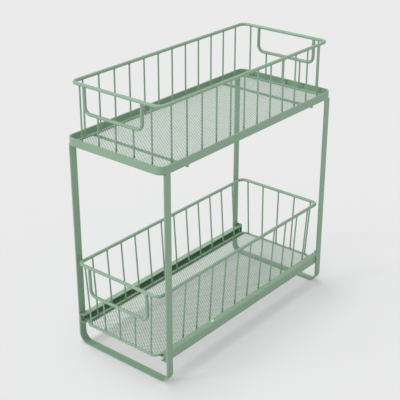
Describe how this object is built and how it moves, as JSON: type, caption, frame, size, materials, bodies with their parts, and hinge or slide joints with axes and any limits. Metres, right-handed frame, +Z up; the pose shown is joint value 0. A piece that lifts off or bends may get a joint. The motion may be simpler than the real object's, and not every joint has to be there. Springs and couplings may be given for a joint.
{
  "type": "pull out cabinet basket",
  "caption": "Two-tier wire organiser on strap end frames: a lift-out basket in a rimmed top frame and a basket that slides forward on side rails.",
  "frame": {"origin": "on the floor, under the middle of the assembly's outer box", "axes": "+X to the right, +Y to the rear, +Z up; the lower basket pulls out along -Y"},
  "size_m": [0.178, 0.404, 0.42],
  "materials": {
    "green_paint": "satin powder coat",
    "pale_nylon": "satin"
  },
  "bodies": {
    "frame": {"front_frame": "green_paint", "rear_frame": "green_paint", "top_frame_band": "green_paint", "front_cross_wire": "green_paint", "rear_cross_wire": "green_paint", "left_rail": "green_paint", "right_rail": "green_paint", "left_stop_button": "pale_nylon", "right_stop_button": "pale_nylon"},
    "upper_basket": {"upper_base_wire": "green_paint", "upper_top_wire": "green_paint", "upper_left_uprights": "green_paint", "upper_right_uprights": "green_paint", "upper_front_uprights": "green_paint", "upper_rear_uprights": "green_paint", "upper_front_handle": "green_paint", "upper_rear_handle": "green_paint", "upper_floor_sheet": "green_paint"},
    "lower_basket": {"lower_base_wire": "green_paint", "lower_top_wire": "green_paint", "lower_left_uprights": "green_paint", "lower_right_uprights": "green_paint", "lower_front_uprights": "green_paint", "lower_rear_uprights": "green_paint", "lower_front_handle": "green_paint", "lower_floor_sheet": "green_paint", "left_runner": "green_paint", "right_runner": "green_paint"}
  },
  "joints": [
    {"name": "lower_basket_slide", "type": "slide", "parent": "frame", "child": "lower_basket", "axis": [0, -1, 0], "range_m": [0, 0.272]},
    {"name": "upper_basket_lift", "type": "slide", "parent": "frame", "child": "upper_basket", "axis": [0, 0, 1], "range_m": [0, 0.1]}
  ]
}
